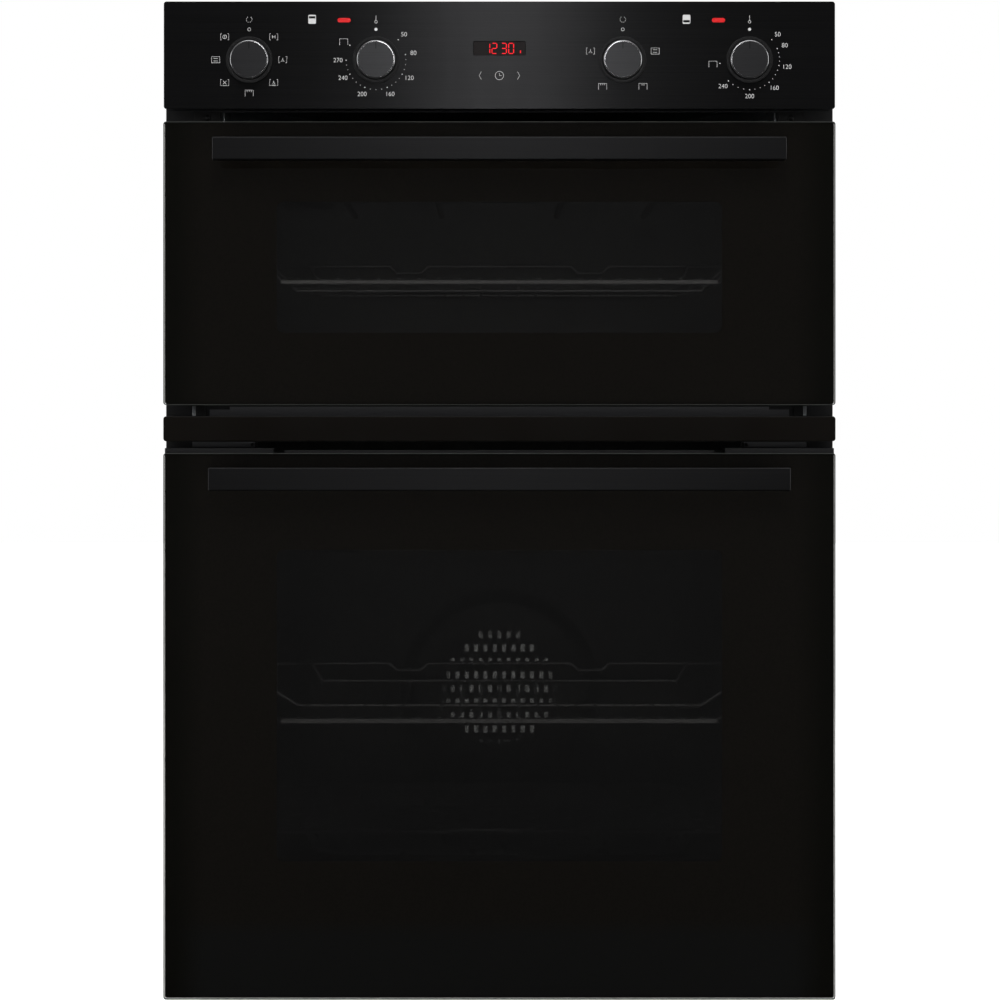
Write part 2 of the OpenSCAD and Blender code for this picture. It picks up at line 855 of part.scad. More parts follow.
// Fixed hinge arms, each with its box behind the front frame
module hinge_arms() {
  color("silver")
    for (door = [lower_door, upper_door]) {
      z = door[0] + pivot_up;
      pair() difference() {
        union() {
          slab(sym_about(hinge_x, 2.5), [pivot_y, body_y + 44], sym_about(z, 5));
          bar_x(sym_about(hinge_x, 2.5), pivot_y, z, 5.5);
          difference() {
            slab(sym_about(hinge_x, 9), [body_y + 0.2, body_y + 50], [z - 9, z + 8]);
            slab(sym_about(hinge_x, 7), [body_y + 2.2, body_y + 51], [z - 7, z + 6]);
          }
        }
        bar_x(sym_about(hinge_x, 4), pivot_y, z, hinge_pin_r + running);
      }
    }
}

base_plate();
side_panels();
rear_panel();
top_cover();
front_frame();
middle_trim();
gap_brackets();
chassis_screws();
upper_cavity();
lower_cavity();
insulation();
door_seals();
fan_baffle();
ring_element();
grill_elements();
base_elements();
lamp_sockets();
lamp_lenses();
temperature_probes();
fan_motor();
blower_housing();
blower_motor();
air_duct();
terminal_box();
hinge_arms();
side_ladders();
upper_rack();
lower_rack();
baking_tray();
control_fascia();
fascia_carrier();
knob_bezels();
rotary_switches();
display_module();
indicator_lenses();
convection_fan();
blower_rotor();
spindle(1);  // spindle_1
spindle(2);  // spindle_2
spindle(3);  // spindle_3
spindle(4);  // spindle_4
knob(1);  // knob_1
knob(2);  // knob_2
knob(3);  // knob_3
knob(4);  // knob_4
door_glass(upper_door);  // upper_door_glass
inner_glass(upper_door);  // upper_inner_glass
door_columns(upper_door);  // upper_door_columns
door_rails(upper_door, [-0.5, -0.5]);  // upper_door_rails
handle(upper_door, upper_handle_w);  // upper_handle
handle_posts(upper_door);  // upper_handle_posts
door_hinges(upper_door);  // upper_door_hinges
door_glass(lower_door);  // lower_door_glass
middle_glass(lower_door);  // lower_middle_glass
inner_glass(lower_door);  // lower_inner_glass
door_columns(lower_door);  // lower_door_columns
door_rails(lower_door, [2.6, 4.4]);  // lower_door_rails
handle(lower_door, lower_handle_w);  // lower_handle
handle_posts(lower_door);  // lower_handle_posts
door_hinges(lower_door);  // lower_door_hinges
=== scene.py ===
import math

import bmesh
import bpy
from mathutils import Matrix, Vector


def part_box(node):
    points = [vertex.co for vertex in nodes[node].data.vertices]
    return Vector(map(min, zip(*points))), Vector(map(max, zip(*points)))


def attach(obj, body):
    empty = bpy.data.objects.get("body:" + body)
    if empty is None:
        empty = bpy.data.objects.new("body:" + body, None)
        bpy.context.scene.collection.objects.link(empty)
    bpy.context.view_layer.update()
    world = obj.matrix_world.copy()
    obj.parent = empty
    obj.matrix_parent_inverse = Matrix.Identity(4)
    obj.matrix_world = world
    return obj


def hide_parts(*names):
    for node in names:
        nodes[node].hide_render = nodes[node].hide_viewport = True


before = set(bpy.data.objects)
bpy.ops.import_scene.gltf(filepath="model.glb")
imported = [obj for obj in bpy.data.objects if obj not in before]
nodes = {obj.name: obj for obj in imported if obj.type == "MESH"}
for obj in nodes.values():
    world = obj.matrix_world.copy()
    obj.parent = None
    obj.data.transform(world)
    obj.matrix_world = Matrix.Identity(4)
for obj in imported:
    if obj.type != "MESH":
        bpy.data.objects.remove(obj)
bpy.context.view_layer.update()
mm = 0.001
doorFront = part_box("upper_door_glass")[0].y
print("frame loaded:", len(nodes), "nodes")

# ---- camera, level and straight on, with the picture slid down a little

shot = {"lens": 99.85, "distance": 2.45, "height": 0.4974, "shiftX": 0.0006, "shiftY": -0.0598}


def makeCamera():
    data = bpy.data.cameras.new("camera")
    data.lens = shot["lens"]
    data.sensor_width = 36
    data.shift_x, data.shift_y = shot["shiftX"], shot["shiftY"]
    data.dof.use_dof = False
    cam = bpy.data.objects.new("camera", data)
    cam.location = (0, doorFront - shot["distance"], shot["height"])
    cam.rotation_euler = (math.radians(90), 0, 0)
    bpy.context.collection.objects.link(cam)
    bpy.context.scene.camera = cam


makeCamera()
bpy.context.scene.view_settings.view_transform = "Standard"

# ---- small helpers


def linear(colour):
    parts = [int(colour[i : i + 2], 16) / 255 for i in (1, 3, 5)]
    return tuple(c / 12.92 if c <= 0.04045 else ((c + 0.055) / 1.055) ** 2.4 for c in parts) + (1.0,)


def addNode(tree, kind, props=None, values=None, links=None):
    node = tree.nodes.new(kind)
    for key, value in (props or {}).items():
        setattr(node, key, value)
    for key, value in (values or {}).items():
        node.inputs[key].default_value = value
    for key, socket in (links or {}).items():
        tree.links.new(socket, node.inputs[key])
    return node


def newMaterial(name, colour, roughness, metallic=0.0, **sockets):
    material = bpy.data.materials.new(name)
    material.use_nodes = True
    tree = material.node_tree
    shader = tree.nodes["Principled BSDF"]
    shader.inputs["Base Color"].default_value = linear(colour)
    shader.inputs["Roughness"].default_value = roughness
    shader.inputs["Metallic"].default_value = metallic
    for key, value in sockets.items():
        shader.inputs[key.replace("_", " ")].default_value = value
    return material, tree, shader


def objectSpace(tree, scale=(1, 1, 1), turn=(0, 0, 0)):
    coord = addNode(tree, "ShaderNodeTexCoord")
    return addNode(
        tree,
        "ShaderNodeMapping",
        values={"Scale": scale, "Rotation": turn},
        links={"Vector": coord.outputs["Object"]},
    ).outputs["Vector"]


def rampColours(tree, factor, low, high, start=0.3, end=0.7):
    ramp = addNode(tree, "ShaderNodeValToRGB", links={"Fac": factor})
    ramp.color_ramp.elements[0].position, ramp.color_ramp.elements[0].color = start, linear(low)
    ramp.color_ramp.elements[1].position, ramp.color_ramp.elements[1].color = end, linear(high)
    return ramp.outputs["Color"]


def spread(tree, factor, low, high, start=0.3, end=0.7):
    return addNode(
        tree,
        "ShaderNodeMapRange",
        values={"From Min": start, "From Max": end, "To Min": low, "To Max": high},
        links={"Value": factor},
    ).outputs["Result"]


def mixColours(tree, factor, first, second):
    mix = addNode(tree, "ShaderNodeMix", props={"data_type": "RGBA"})
    for socket, value in ((mix.inputs[0], factor), (mix.inputs[6], first), (mix.inputs[7], second)):
        if isinstance(value, tuple):
            socket.default_value = value
        else:
            tree.links.new(value, socket)
    return mix.outputs[2]


def bump(tree, shader, height, strength, distance):
    node = addNode(
        tree, "ShaderNodeBump", values={"Strength": strength, "Distance": distance}, links={"Height": height}
    )
    tree.links.new(node.outputs["Normal"], shader.inputs["Normal"])


def perMm(size):  # pattern scale in metres for a feature of this many millimetres
    return 1 / (size * mm)


# ---- materials


def brushedBlackSteel(name, colourLow, colourHigh, roughness, grain=1.0):
    # stainless sheet, belt-brushed along its length and coated black: fine level streaks, soft upright glow
    material, tree, shader = newMaterial(
        name, colourHigh, roughness, 1.0, Anisotropic=grain, Anisotropic_Rotation=0.25
    )
    # grit marks thickened to 0.7 mm, and 160 mm long, so that they show
    streaks = addNode(
        tree,
        "ShaderNodeTexNoise",
        values={"Scale": 1.0, "Detail": 4.0, "Roughness": 0.65},
        links={"Vector": objectSpace(tree, (perMm(160), perMm(4), perMm(0.7)))},
    ).outputs["Fac"]
    # the belt's slow changes of pressure leave faint upright bands about 9 mm wide
    bands = addNode(
        tree,
        "ShaderNodeTexNoise",
        values={"Scale": 1.0, "Detail": 3.0, "Roughness": 0.6},
        links={"Vector": objectSpace(tree, (perMm(9), perMm(60), perMm(70)))},
    ).outputs["Fac"]
    tree.links.new(rampColours(tree, streaks, colourLow, colourHigh), shader.inputs["Base Color"])
    fine = spread(tree, streaks, roughness - 0.03, roughness + 0.03)
    slow = spread(tree, bands, -0.012, 0.012)
    rough = addNode(tree, "ShaderNodeMath", props={"operation": "ADD"}, links={0: fine, 1: slow})
    tree.links.new(rough.outputs["Value"], shader.inputs["Roughness"])
    tangent = addNode(tree, "ShaderNodeTangent", props={"direction_type": "RADIAL", "axis": "Z"})
    tree.links.new(tangent.outputs["Tangent"], shader.inputs["Tangent"])
    bump(tree, shader, streaks, 0.06, 0.00004)
    return material


def seeThroughGlass(name, tint, gloss, haze=0.0):
    # float glass, toughened: flat and polished, so it only tints what is behind it and mirrors a little
    # a sputtered coat adds a faint haze
    material = bpy.data.materials.new(name)
    material.use_nodes = True
    tree = material.node_tree
    tree.nodes.remove(tree.nodes["Principled BSDF"])
    clear = addNode(tree, "ShaderNodeBsdfTransparent", values={"Color": linear(tint)})
    mirror = addNode(tree, "ShaderNodeBsdfGlossy", values={"Roughness": 0.03, "Color": linear("#ffffff")})
    # roller waves of float glass, about 70 mm apart
    waves = addNode(
        tree,
        "ShaderNodeTexNoise",
        values={"Scale": perMm(70), "Detail": 1.0},
        links={"Vector": objectSpace(tree)},
    ).outputs["Fac"]
    wavy = addNode(
        tree, "ShaderNodeBump", values={"Strength": 0.15, "Distance": 0.0002}, links={"Height": waves}
    ).outputs["Normal"]
    tree.links.new(wavy, mirror.inputs["Normal"])
    fresnel = addNode(tree, "ShaderNodeFresnel", values={"IOR": gloss}, links={"Normal": wavy})
    veil = addNode(tree, "ShaderNodeBsdfDiffuse", values={"Color": linear("#5f5f61")})
    coated = addNode(
        tree,
        "ShaderNodeMixShader",
        values={0: haze},
        links={1: clear.outputs["BSDF"], 2: veil.outputs["BSDF"]},
    )
    mix = addNode(
        tree,
        "ShaderNodeMixShader",
        links={0: fresnel.outputs["Fac"], 1: coated.outputs["Shader"], 2: mirror.outputs["BSDF"]},
    )
    tree.links.new(mix.outputs["Shader"], tree.nodes["Material Output"].inputs["Surface"])
    return material


def blackPrint():
    # ceramic ink screen-printed on the glass's back and fired: deep warm black with a fine grain
    material, tree, shader = newMaterial("firedBlackPrint", "#14120f", 0.6, Specular_IOR_Level=0.05)
    place = objectSpace(tree)
    grain = addNode(
        tree, "ShaderNodeTexNoise", values={"Scale": perMm(2), "Detail": 4.0}, links={"Vector": place}
    ).outputs["Fac"]
    split = addNode(tree, "ShaderNodeSeparateXYZ", links={"Vector": place})
    side = addNode(tree, "ShaderNodeMath", props={"operation": "ABSOLUTE"}, links={0: split.outputs["X"]})
    # the strips over the door's edge profiles are a cooler black, as is the foot of the lower door
    strip = spread(tree, side.outputs["Value"], 0.0, 1.0, 0.262, 0.286)
    foot = spread(tree, split.outputs["Z"], 1.0, 0.0, 0.06, 0.073)
    warm = rampColours(tree, grain, "#1d1a16", "#231f1b")
    middle = mixColours(tree, foot, warm, linear("#1f1f1f"))
    tree.links.new(mixColours(tree, strip, middle, linear("#15140e")), shader.inputs["Base Color"])
    return material


def paintedSteel(name, colour, roughness, sheen=0.5):
    # powder-coated sheet: a fine orange peel, about 1.2 mm, and slightly cloudy gloss
    material, tree, shader = newMaterial(name, colour, roughness, Specular_IOR_Level=sheen)
    peel = addNode(
        tree,
        "ShaderNodeTexNoise",
        values={"Scale": perMm(1.2), "Detail": 2.0},
        links={"Vector": objectSpace(tree)},
    ).outputs["Fac"]
    clouds = addNode(
        tree,
        "ShaderNodeTexNoise",
        values={"Scale": perMm(45), "Detail": 3.0},
        links={"Vector": objectSpace(tree)},
    ).outputs["Fac"]
    tree.links.new(spread(tree, clouds, roughness - 0.06, roughness + 0.06), shader.inputs["Roughness"])
    bump(tree, shader, peel, 0.15, 0.00006)
    return material


def cavityEnamel(name, base, fleck, roughness):
    # vitreous enamel fired on steel: glossy, slightly wavy, dark grey with pale flecks of under a millimetre
    material, tree, shader = newMaterial(name, base, roughness, Coat_Weight=0.3, Coat_Roughness=0.12)
    cells = addNode(
        tree,
        "ShaderNodeTexVoronoi",
        values={"Scale": perMm(3.2), "Randomness": 1.0},
        links={"Vector": objectSpace(tree)},
    )
    flecks = spread(tree, cells.outputs["Distance"], 1.0, 0.0, 0.1, 0.2)
    tree.links.new(mixColours(tree, flecks, linear(base), linear(fleck)), shader.inputs["Base Color"])
    flow = addNode(
        tree,
        "ShaderNodeTexNoise",
        values={"Scale": perMm(14), "Detail": 2.0},
        links={"Vector": objectSpace(tree)},
    ).outputs["Fac"]
    tree.links.new(spread(tree, flow, roughness - 0.08, roughness + 0.1), shader.inputs["Roughness"])
    bump(tree, shader, flow, 0.2, 0.0002)
    return material


def plainMetal(name, colour, roughness, grain, contrast):
    # bare or plated metal with a faint cloudiness of the given grain in millimetres
    material, tree, shader = newMaterial(name, colour, roughness, 1.0)
    clouds = addNode(
        tree,
        "ShaderNodeTexNoise",
        values={"Scale": perMm(grain), "Detail": 4.0, "Roughness": 0.6},
        links={"Vector": objectSpace(tree)},
    ).outputs["Fac"]
    cloudy = spread(tree, clouds, roughness - contrast, roughness + contrast)
    tree.links.new(cloudy, shader.inputs["Roughness"])
    bump(tree, shader, clouds, 0.06, 0.0001)
    return material


def galvanisedSheet():
    # hot-dipped zinc: crystals of 8 to 14 mm, each with its own shade and gloss, and a light rolling grain
    material, tree, shader = newMaterial("galvanisedSheet", "#a9adb0", 0.42, 1.0)
    cells = addNode(
        tree,
        "ShaderNodeTexVoronoi",
        values={"Scale": perMm(11), "Randomness": 1.0},
        links={"Vector": objectSpace(tree)},
    ).outputs["Color"]
    shade = addNode(tree, "ShaderNodeSeparateColor", links={"Color": cells}).outputs["Red"]
    tree.links.new(rampColours(tree, shade, "#b3b6b9", "#bfc2c4", 0.0, 1.0), shader.inputs["Base Color"])
    tree.links.new(spread(tree, shade, 0.41, 0.47, 0.0, 1.0), shader.inputs["Roughness"])
    grain = addNode(
        tree,
        "ShaderNodeTexNoise",
        values={"Scale": 1.0, "Detail": 2.0},
        links={"Vector": objectSpace(tree, (perMm(60), perMm(60), perMm(1.5)))},
    ).outputs["Fac"]
    bump(tree, shader, grain, 0.05, 0.0001)
    return material


def mouldedPlastic(name, colour, roughness, grain=0.9, sheen=0.5):
    # injection-moulded plastic with a fine spark-eroded texture
    material, tree, shader = newMaterial(name, colour, roughness, Specular_IOR_Level=sheen)
    skin = addNode(
        tree,
        "ShaderNodeTexNoise",
        values={"Scale": perMm(grain), "Detail": 3.0},
        links={"Vector": objectSpace(tree)},
    ).outputs["Fac"]
    tree.links.new(spread(tree, skin, roughness - 0.07, roughness + 0.07), shader.inputs["Roughness"])
    bump(tree, shader, skin, 0.2, 0.00008)
    return material


def rockWool():
    # needled rock fibre, matte, with matted strands; coloured a dark grey-brown as painted shade, so that it
    # reads black through the openings in the front frame
    material, tree, shader = newMaterial("rockWool", "#4c463a", 0.95)
    strands = addNode(
        tree,
        "ShaderNodeTexNoise",
        values={"Scale": perMm(5), "Detail": 6.0, "Distortion": 2.0},
        links={"Vector": objectSpace(tree)},
    ).outputs["Fac"]
    tree.links.new(rampColours(tree, strands, "#38332a", "#5c5546"), shader.inputs["Base Color"])
    bump(tree, shader, strands, 0.8, 0.002)
    return material


def glowing(name, colour, strength):
    # light-emitting diodes behind a dark red filter
    material, tree, shader = newMaterial(name, colour, 0.4)
    shader.inputs["Emission Color"].default_value = linear(colour)
    shader.inputs["Emission Strength"].default_value = strength
    patch = addNode(
        tree, "ShaderNodeTexNoise", values={"Scale": perMm(1.5)}, links={"Vector": objectSpace(tree)}
    ).outputs["Fac"]
    tree.links.new(spread(tree, patch, 0.3, 0.5), shader.inputs["Roughness"])
    return material


fasciaSteel = brushedBlackSteel("brushedBlackSteel", "#2f2f30", "#363637", 0.38)
handleSteel = brushedBlackSteel("brushedBlackHandle", "#313132", "#373738", 0.5, 0.8)
knobMetal = brushedBlackSteel("brushedBlackKnob", "#525254", "#5d5d5f", 0.44, 0.9)
rimMetal = plainMetal("polishedRim", "#bcbcbe", 0.16, 2, 0.03)
doorPane = seeThroughGlass("toughenedDoorGlass", "#f2f2f0", 1.45)
smokedFilm = seeThroughGlass("smokedWindowCoat", "#c8c7c6", 1.05, 0.08)
glassEdge = paintedSteel("groundGlassEdge", "#30322f", 0.35, 0.3)
innerPane = seeThroughGlass("heatReflectingGlass", "#ebebeb", 1.2)
printBlack = blackPrint()
trimPaint = paintedSteel("glossBlackPaint", "#0f0c09", 0.35, 0.16)
framePaint = paintedSteel("darkGreyPaint", "#1c1c1d", 0.5, 0.3)
profilePaint = paintedSteel("satinBlackCoat", "#18181a", 0.5)
bracketPaint = paintedSteel("mattBlackPaint", "#0d0d0d", 0.6)
flangeGrey = paintedSteel("greyPaintedFlange", "#47474a", 0.5, 0.4)
bezelPaint = paintedSteel("satinBlackRing", "#171718", 0.45, 0.3)
enamel = cavityEnamel("speckledCavityEnamel", "#2b2c2e", "#6a6c70", 0.3)
trayEnamel = cavityEnamel("glossyTrayEnamel", "#222325", "#5a5c60", 0.2)
chrome = plainMetal("platedWire", "#d6d6d8", 0.14, 6, 0.05)
hingeSteel = plainMetal("zincPlatedSteel", "#b4b3ad", 0.35, 9, 0.08)
sheathSteel = plainMetal("oxidisedHeaterTube", "#565049", 0.5, 5, 0.1)
fanAluminium = plainMetal("pressedAluminium", "#c4c6c8", 0.36, 12, 0.06)
motorSteel = plainMetal("laminatedSteel", "#7d7f82", 0.5, 3, 0.1)
spindleSteel = plainMetal("turnedSteel", "#b9babc", 0.25, 2, 0.05)
zinc = galvanisedSheet()
# the insulation's dark colour is painted shade
woolPaintedShade = rockWool()
blackPlastic = mouldedPlastic("mouldedBlackNylon", "#17181a", 0.5)
creamNylon = mouldedPlastic("glassFilledNylon", "#d5ceb6", 0.55)
ceramicWhite = mouldedPlastic("unglazedCeramic", "#e2ded2", 0.75, 2.5)
sealRubber = mouldedPlastic("siliconeSeal", "#2a2a2b", 0.7, 1.4)
displayFilter = mouldedPlastic("darkDisplayFilter", "#1c1818", 0.5, 2, 0.25)
lampGlass = seeThroughGlass("pressedLampGlass", "#eef2f4", 1.45)
whiteInk = mouldedPlastic("whiteScreenInk", "#d9d9d9", 0.6, 0.6)
redGlow = glowing("redIndicator", "#b80c10", 0.5)
digitGlow = glowing("redDigits", "#e8081c", 0.75)
markDark = mouldedPlastic("engravedMark", "#050505", 0.6, 0.8)
print("materials made:", len(bpy.data.materials))

# ---- mesh helpers


def softNormals(mesh, limit):
    # corner normals averaged by face area, so that big flat faces stay flat beside their bevels
    around = [[] for _ in mesh.vertices]
    for face in mesh.polygons:
        for v in face.vertices:
            around[v].append(face)
    least = math.cos(math.radians(limit))
    normals = []
    for face in mesh.polygons:
        for v in face.vertices:
            near = [f for f in around[v] if f.normal.dot(face.normal) > least]
            normals.append(sum((f.normal * f.area for f in near), Vector()).normalized())
    mesh.polygons.foreach_set("use_smooth", [True] * len(mesh.polygons))
    mesh.normals_split_custom_set(normals)


def newPiece(name, bm, material, body, replaced=(), limit=46):
    mesh = bpy.data.meshes.new(name)
    bm.to_mesh(mesh)
    bm.free()
    softNormals(mesh, limit)
    piece = bpy.data.objects.new(name, mesh)
    bpy.context.collection.objects.link(piece)
    for item in material if isinstance(material, (list, tuple)) else [material]:
        mesh.materials.append(item)
    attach(piece, body)
    if replaced:
        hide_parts(*replaced)
    return piece


def box(bm, low, high, bevel=0.0, segments=2):
    before = set(bm.verts)
    made = bmesh.ops.create_cube(bm, size=1)["verts"]
    low, high = Vector(low), Vector(high)
    bmesh.ops.scale(bm, vec=high - low, verts=made)
    bmesh.ops.translate(bm, vec=(low + high) / 2, verts=made)
    if bevel:
        edges = list({e for v in made for e in v.link_edges})
        bmesh.ops.bevel(
            bm, geom=edges, offset=bevel, offset_type="OFFSET", segments=segments, profile=0.5,
            affect="EDGES", material=-1, clamp_overlap=True,
        )
    return [v for v in bm.verts if v not in before]


def plate(bm, low, high, radius, bevel, segments=5):
    # upright plate with round corners and softened rims, facing -Y
    before = set(bm.faces)
    made = bmesh.ops.create_grid(bm, x_segments=1, y_segments=1, size=0.5)["verts"]
    size = Vector(high) - Vector(low)
    bmesh.ops.rotate(bm, cent=(0, 0, 0), matrix=Matrix.Rotation(math.radians(90), 3, "X"), verts=made)
    bmesh.ops.scale(bm, vec=(size.x, 1, size.z), verts=made)
    middle = (Vector(low) + Vector(high)) / 2
    bmesh.ops.translate(bm, vec=(middle.x, low[1], middle.z), verts=made)
    bmesh.ops.bevel(
        bm, geom=made, offset=radius, offset_type="OFFSET", segments=segments, profile=0.5,
        affect="VERTICES", material=-1,
    )
    face = next(f for f in bm.faces if f not in before)
    grown = bmesh.ops.extrude_face_region(bm, geom=[face])["geom"]
    back = [v for v in grown if isinstance(v, bmesh.types.BMVert)]
    bmesh.ops.translate(bm, vec=(0, size.y, 0), verts=back)
    newFaces = [f for f in bm.faces if f not in before]
    bmesh.ops.recalc_face_normals(bm, faces=newFaces)
    if bevel:
        rims = {
            e
            for f in newFaces
            for e in f.edges
            if abs(e.verts[0].co.y - e.verts[1].co.y) < 1e-7
        }
        bmesh.ops.bevel(
            bm, geom=list(rims), offset=bevel, offset_type="OFFSET", segments=2, profile=0.5, affect="EDGES",
            material=-1,
        )


def turned(bm, profile, centre, steps=64):
    # profile is a list of (radius, y), spun round the Y axis through the centre
    verts = [bm.verts.new((r, y, 0)) for r, y in profile]
    edges = [bm.edges.new(pair) for pair in zip(verts, verts[1:])]
    bmesh.ops.spin(
        bm, geom=verts + edges, cent=(0, 0, 0), axis=(0, 1, 0), angle=math.tau, steps=steps, use_merge=True,
    )
    made = [v for v in bm.verts if not v.tag]
    bmesh.ops.remove_doubles(bm, verts=made, dist=1e-6)
    made = [v for v in bm.verts if not v.tag]
    bmesh.ops.recalc_face_normals(bm, faces=list({f for v in made for f in v.link_faces}))
    bmesh.ops.translate(bm, vec=centre, verts=made)
    for v in bm.verts:
        v.tag = True


def ringOutline(w, h, r, centre=(0, 0), steps=6):
    points = []
    for corner, (sx, sy) in enumerate([(1, 1), (-1, 1), (-1, -1), (1, -1)]):
        for i in range(steps + 1):
            a = math.radians(90 * corner + 90 * i / steps)
            x = centre[0] + sx * (w / 2 - r) + r * math.cos(a)
            z = centre[1] + sy * (h / 2 - r) + r * math.sin(a)
            points.append((x, z))
    return points


def circleOutline(r, centre, steps=64):
    return [
        (centre[0] + r * math.cos(math.tau * i / steps), centre[1] + r * math.sin(math.tau * i / steps))
        for i in range(steps)
    ]


def cutSheet(outlines, y, rim=0.0):
    # a flat sheet from outlines in X and Z, the first one outside and the rest holes, as thick as y says
    data = bpy.data.curves.new("outline", "CURVE")
    data.dimensions = "2D"
    data.fill_mode = "BOTH"
    data.extrude = (y[1] - y[0]) / 2 - rim
    data.bevel_depth, data.bevel_resolution, data.offset = rim, 1, -rim
    for outline in outlines:
        spline = data.splines.new("POLY")
        spline.points.add(len(outline) - 1)
        for point, (x, z) in zip(spline.points, outline):
            point.co = (x, z, 0, 1)
        spline.use_cyclic_u = True
    upright = Matrix.Rotation(math.radians(90), 4, "X")
    return curveMesh(data, Matrix.Translation((0, (y[0] + y[1]) / 2, 0)) @ upright)


def curveMesh(data, place):
    holder = bpy.data.objects.new("holder", data)
    bpy.context.collection.objects.link(holder)
    bpy.context.view_layer.update()
    mesh = bpy.data.meshes.new_from_object(holder.evaluated_get(bpy.context.evaluated_depsgraph_get()))
    mesh.transform(place)
    bpy.data.objects.remove(holder)
    return mesh


def takeMesh(bm, mesh):
    bm.from_mesh(mesh)
    bpy.data.meshes.remove(mesh)


def strokes(lines, width, y, closed=False):
    # flat ribbons of ink along lines of (x, z) points, a tenth as thick as they are wide
    data = bpy.data.curves.new("strokes", "CURVE")
    data.dimensions = "3D"
    data.bevel_depth, data.bevel_resolution, data.use_fill_caps = width / 2, 2, True
    for line in lines:
        spline = data.splines.new("POLY")
        spline.points.add(len(line) - 1)
        for point, (x, z) in zip(spline.points, line):
            point.co = (x, 0, z, 1)
        spline.use_cyclic_u = closed
    return curveMesh(data, Matrix.Translation((0, y, 0)) @ Matrix.Diagonal((1, 0.1, 1, 1)))


def lettering(text, size, centre, y):
    data = bpy.data.curves.new("lettering", "FONT")
    data.body = text
    data.size = size
    data.align_x, data.align_y = "CENTER", "CENTER"
    data.extrude = 0.00004
    data.offset = -0.00006
    place = Matrix.Translation((centre[0], y, centre[1])) @ Matrix.Rotation(math.radians(90), 4, "X")
    return curveMesh(data, place)


# ---- doors

door = {
    "glassRim": 0.7 * mm,
    "cornerRadius": 2.5 * mm,
    "windowHalf": 197 * mm,
    "windowRadius": 6 * mm,
    "printDepth": 0.4 * mm,
    "windows": {"upper": (0.5925, 0.7085), "lower": (0.125, 0.4005)},
}


def makeDoor(name):
    body = f"{name}_door"
    low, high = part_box(f"{name}_door_glass")
    bm = bmesh.new()
    plate(bm, low, high, door["cornerRadius"], door["glassRim"])
    for face in bm.faces:
        face.material_index = int(abs(face.normal.y) < 0.99)
    newPiece(f"{name}DoorGlass", bm, [doorPane, glassEdge], body, [f"{name}_door_glass"])
    # black print on the back of the glass, with the window left clear
    bottom, top = door["windows"][name]
    outer = ringOutline(high.x - low.x - 2 * mm, high.z - low.z - 2 * mm, 2 * mm, (0, (low.z + high.z) / 2))
    window = ringOutline(2 * door["windowHalf"], top - bottom, door["windowRadius"], (0, (bottom + top) / 2))
    y = high.y - door["printDepth"]
    bm = bmesh.new()
    takeMesh(bm, cutSheet([outer, window], (y, y + 0.1 * mm)))
    newPiece(f"{name}DoorPrint", bm, printBlack, body)
    bm = bmesh.new()
    takeMesh(bm, cutSheet([window], (y + 0.15 * mm, y + 0.25 * mm)))
    newPiece(f"{name}WindowCoat", bm, smokedFilm, body)


handleShape = {"edge": 1.1 * mm, "endCap": 1.5 * mm}


def makeHandle(name):
    body = f"{name}_door"
    low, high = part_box(f"{name}_handle")
    bm = bmesh.new()
    box(bm, low, high, handleShape["edge"], 3)
    newPiece(f"{name}Handle", bm, handleSteel, body, [f"{name}_handle"])
    low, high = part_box(f"{name}_handle_posts")
    bm = bmesh.new()
    for side in (-1, 1):
        inner, outer = sorted((side * (high.x - 16 * mm), side * high.x))
        box(bm, (inner, low.y, low.z), (outer, doorFront, high.z), 2 * mm, 4)
    newPiece(f"{name}HandlePosts", bm, handleSteel, body, [f"{name}_handle_posts"])


for name in ("upper", "lower"):
    makeDoor(name)
    makeHandle(name)
print("doors made")

# ---- strip between the doors

trim = {"height": 22 * mm, "corner": 2.5 * mm, "rim": 0.8 * mm, "backHalf": 0.292, "sheet": 2 * mm}


def makeTrim():
    low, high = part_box("middle_trim")
    strip, sheet = trim["height"], trim["sheet"]
    bm = bmesh.new()
    plate(bm, low, (high.x, high.y - sheet, low.z + strip), trim["corner"], trim["rim"])
    box(bm, (-trim["backHalf"], high.y - sheet, low.z + mm), (trim["backHalf"], high.y, low.z + strip - mm))
    # folded flange behind the strip, which shows in the gap above it
    for half, rise, thick in ((0.258, 6.2 * mm, 2 * mm), (0.240, 8.8 * mm, 2.4 * mm)):
        made = box(bm, (-half, high.y - thick, low.z + strip - mm), (half, high.y, low.z + strip + rise))
        for face in {f for v in made for f in v.link_faces}:
            face.material_index = 1
    newPiece("middleTrim", bm, [trimPaint, flangeGrey], "oven", ["middle_trim"])


